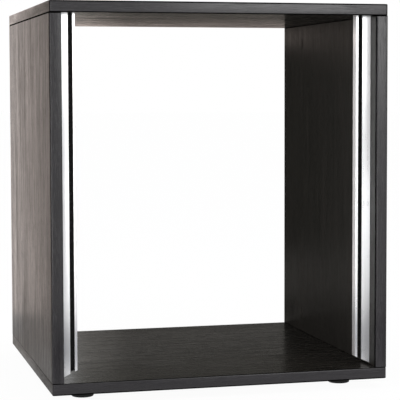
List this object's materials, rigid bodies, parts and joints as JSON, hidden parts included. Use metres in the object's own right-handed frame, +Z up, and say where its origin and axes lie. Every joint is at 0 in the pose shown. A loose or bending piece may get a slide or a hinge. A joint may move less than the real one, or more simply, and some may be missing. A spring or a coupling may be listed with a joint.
{
  "type": "audio equipment rack",
  "caption": "Free-standing open-fronted and open-backed cabinet with a pair of slotted front rails and threaded strips for 19-inch audio equipment, on round feet.",
  "frame": {"origin": "on the floor, under the middle of the cabinet's footprint", "axes": "+Z up, -Y out of the open front with the rails, +X to the right for someone who stands in front"},
  "size_m": [0.536, 0.48, 0.609],
  "materials": {
    "laminate": "matt melamine with a fine dark wood grain",
    "edge_band": "satin grained plastic edging",
    "rail_aluminium": "satin anodised",
    "strip_black": "black zinc",
    "screw_zinc": "bright zinc plate",
    "cam_zinc": "die-cast zinc",
    "foot_rubber": "black moulded rubber",
    "dowel_beech": "raw beech"
  },
  "bodies": {
    "root": {"top_panel": "laminate", "bottom_panel": "laminate", "left_side_panel": "laminate", "right_side_panel": "laminate", "top_front_edge_band": "edge_band", "top_rear_edge_band": "edge_band", "top_left_edge_band": "edge_band", "top_right_edge_band": "edge_band", "bottom_front_edge_band": "edge_band", "bottom_rear_edge_band": "edge_band", "bottom_left_edge_band": "edge_band", "bottom_right_edge_band": "edge_band", "left_side_front_edge_band": "edge_band", "left_side_rear_edge_band": "edge_band", "right_side_front_edge_band": "edge_band", "right_side_rear_edge_band": "edge_band", "left_rail": "rail_aluminium", "right_rail": "rail_aluminium", "left_threaded_strip": "strip_black", "right_threaded_strip": "strip_black", "left_rail_screw_1": "screw_zinc", "left_rail_screw_2": "screw_zinc", "left_rail_screw_3": "screw_zinc", "left_rail_screw_4": "screw_zinc", "right_rail_screw_1": "screw_zinc", "right_rail_screw_2": "screw_zinc", "right_rail_screw_3": "screw_zinc", "right_rail_screw_4": "screw_zinc", "front_left_foot": "foot_rubber", "front_right_foot": "foot_rubber", "rear_left_foot": "foot_rubber", "rear_right_foot": "foot_rubber", "front_left_foot_screw": "screw_zinc", "front_right_foot_screw": "screw_zinc", "rear_left_foot_screw": "screw_zinc", "rear_right_foot_screw": "screw_zinc", "top_left_front_cam": "cam_zinc", "top_left_rear_cam": "cam_zinc", "top_right_front_cam": "cam_zinc", "top_right_rear_cam": "cam_zinc", "bottom_left_front_cam": "cam_zinc", "bottom_left_rear_cam": "cam_zinc", "bottom_right_front_cam": "cam_zinc", "bottom_right_rear_cam": "cam_zinc", "top_left_front_cam_bolt": "screw_zinc", "top_left_rear_cam_bolt": "screw_zinc", "top_right_front_cam_bolt": "screw_zinc", "top_right_rear_cam_bolt": "screw_zinc", "bottom_left_front_cam_bolt": "screw_zinc", "bottom_left_rear_cam_bolt": "screw_zinc", "bottom_right_front_cam_bolt": "screw_zinc", "bottom_right_rear_cam_bolt": "screw_zinc", "top_left_front_dowel": "dowel_beech", "top_left_rear_dowel": "dowel_beech", "top_right_front_dowel": "dowel_beech", "top_right_rear_dowel": "dowel_beech", "bottom_left_front_dowel": "dowel_beech", "bottom_left_rear_dowel": "dowel_beech", "bottom_right_front_dowel": "dowel_beech", "bottom_right_rear_dowel": "dowel_beech"}
  },
  "joints": []
}
